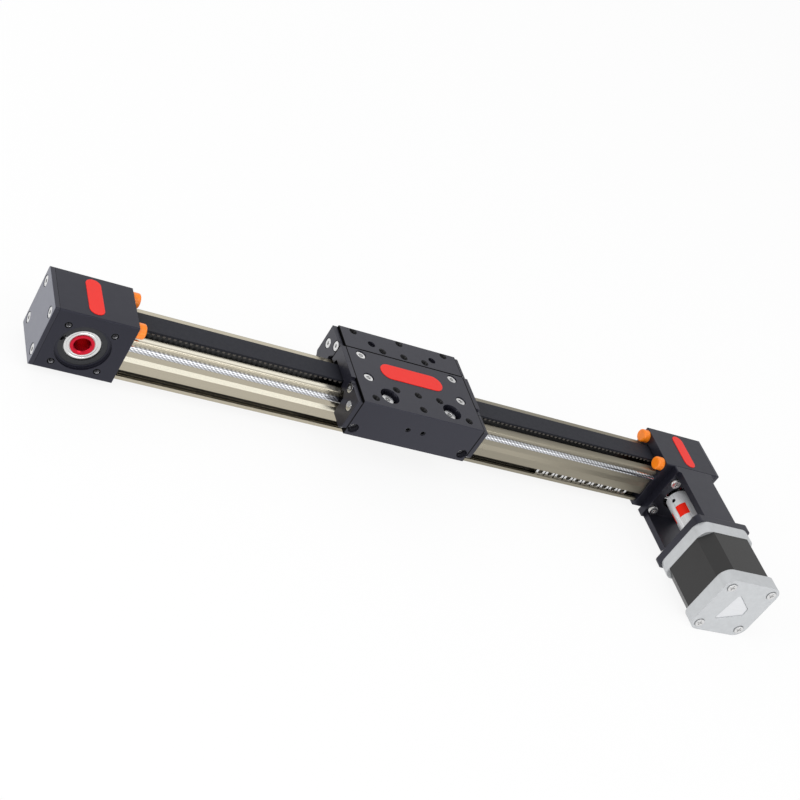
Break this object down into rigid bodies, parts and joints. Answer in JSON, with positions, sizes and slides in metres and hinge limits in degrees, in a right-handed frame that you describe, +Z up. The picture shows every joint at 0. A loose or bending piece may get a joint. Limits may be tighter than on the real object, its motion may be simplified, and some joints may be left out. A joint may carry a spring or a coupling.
{
  "type": "belt driven linear axis",
  "caption": "Linear axis with a roller carriage on an aluminium rail, toothed belt, end blocks, coupling housing and stepper motor.",
  "frame": {"origin": "middle of the rail's bottom face, midway between the two end blocks", "axes": "+X along the rail towards the driven end, +Y away from the motor, +Z up through the carriage's top face"},
  "size_m": [0.4284, 0.1403, 0.0431],
  "materials": {
    "champagne_aluminium": "polished champagne anodised extrusion",
    "belt_rubber": "matt black belt rubber",
    "bumper_orange": "smooth orange elastomer",
    "plate_red": "glossy red",
    "red_anodised": "bright red anodised",
    "spider_red": "satin red polyurethane",
    "black_anodised": "satin black anodised, fine bead blast",
    "cast_grey": "fine grey die casting",
    "stack_black": "satin black",
    "black_steel": "black oxide",
    "bare_aluminium": "machined",
    "felt": "pressed felt",
    "socket_plastic": "moulded",
    "bright_steel": "bright plated"
  },
  "bodies": {
    "base": {"rail_profile": "champagne_aluminium", "front_guide_rod": "bright_steel", "back_guide_rod": "bright_steel", "toothed_belt": "belt_rubber", "slot_nuts": "bright_steel", "idler_block": "black_anodised", "idler_end_cover": "black_anodised", "idler_cover_screws": "bright_steel", "idler_rail_screws": "bright_steel", "idler_bumpers": "bumper_orange", "idler_bearings": "bright_steel", "idler_circlips": "black_steel", "idler_name_plate": "plate_red", "drive_block": "black_anodised", "drive_end_cover": "black_anodised", "drive_cover_screws": "bright_steel", "drive_rail_screws": "bright_steel", "drive_bumpers": "bumper_orange", "drive_bearings": "bright_steel", "drive_circlips": "black_steel", "drive_name_plate": "plate_red", "coupling_housing": "black_anodised", "housing_screws": "bright_steel", "motor_front_flange": "cast_grey", "motor_stack": "stack_black", "motor_rear_cap": "cast_grey", "motor_tie_screws": "bright_steel", "motor_mount_screws": "bright_steel", "motor_socket": "socket_plastic"},
    "carriage": {"carriage_plate": "black_anodised", "adjusting_bar": "black_anodised", "bar_screws": "bright_steel", "left_end_cap": "black_anodised", "right_end_cap": "black_anodised", "end_cap_screws": "bright_steel", "belt_clamps": "bare_aluminium", "clamp_screws": "bright_steel", "rod_wipers": "felt", "wiper_screws": "bright_steel", "leg_grub_screws": "bright_steel", "front_roller_bolts": "bright_steel", "back_roller_pins": "bright_steel", "roller_spacers": "bright_steel", "carriage_name_plate": "plate_red"},
    "idler_wheel": {"idler_pulley": "bare_aluminium", "idler_hollow_shaft": "red_anodised"},
    "drive_wheel": {"drive_pulley": "bare_aluminium", "drive_hollow_shaft": "red_anodised", "drive_shaft": "bright_steel", "coupling_drive_hub": "bare_aluminium", "coupling_spider": "spider_red", "coupling_motor_hub": "bare_aluminium", "coupling_set_screws": "black_steel", "motor_shaft": "bright_steel"},
    "front_left_wheel": {"front_left_roller": "bright_steel"},
    "front_right_wheel": {"front_right_roller": "bright_steel"},
    "back_left_wheel": {"back_left_roller": "bright_steel"},
    "back_right_wheel": {"back_right_roller": "bright_steel"}
  },
  "joints": [
    {"name": "carriage_slide", "type": "slide", "parent": "base", "child": "carriage", "axis": [1, 0, 0], "range_m": [-0.1148, 0.1348], "deforming": ["toothed_belt"]},
    {"name": "drive_spin", "type": "hinge", "parent": "base", "child": "drive_wheel", "pos_m": [0.19275, 0, 0.015], "axis": [0, 1, 0], "continuous": true},
    {"name": "idler_spin", "type": "hinge", "parent": "base", "child": "idler_wheel", "pos_m": [-0.19275, 0, 0.015], "axis": [0, 1, 0], "continuous": true},
    {"name": "front_left_roll", "type": "hinge", "parent": "carriage", "child": "front_left_wheel", "pos_m": [-0.0301, -0.0212, 0.0208], "axis": [0, 0, 1], "continuous": true},
    {"name": "front_right_roll", "type": "hinge", "parent": "carriage", "child": "front_right_wheel", "pos_m": [0.0101, -0.0212, 0.0208], "axis": [0, 0, 1], "continuous": true},
    {"name": "back_left_roll", "type": "hinge", "parent": "carriage", "child": "back_left_wheel", "pos_m": [-0.0301, 0.0212, 0.0208], "axis": [0, 0, 1], "continuous": true},
    {"name": "back_right_roll", "type": "hinge", "parent": "carriage", "child": "back_right_wheel", "pos_m": [0.0101, 0.0212, 0.0208], "axis": [0, 0, 1], "continuous": true}
  ],
  "couplings": [
    {"joint": "drive_spin", "follows": "carriage_slide", "rad_per_m": 80.554},
    {"joint": "idler_spin", "follows": "carriage_slide", "rad_per_m": 80.554},
    {"joint": "front_left_roll", "follows": "carriage_slide", "rad_per_m": 185.19},
    {"joint": "front_right_roll", "follows": "carriage_slide", "rad_per_m": 185.19},
    {"joint": "back_left_roll", "follows": "carriage_slide", "rad_per_m": -185.19},
    {"joint": "back_right_roll", "follows": "carriage_slide", "rad_per_m": -185.19}
  ]
}
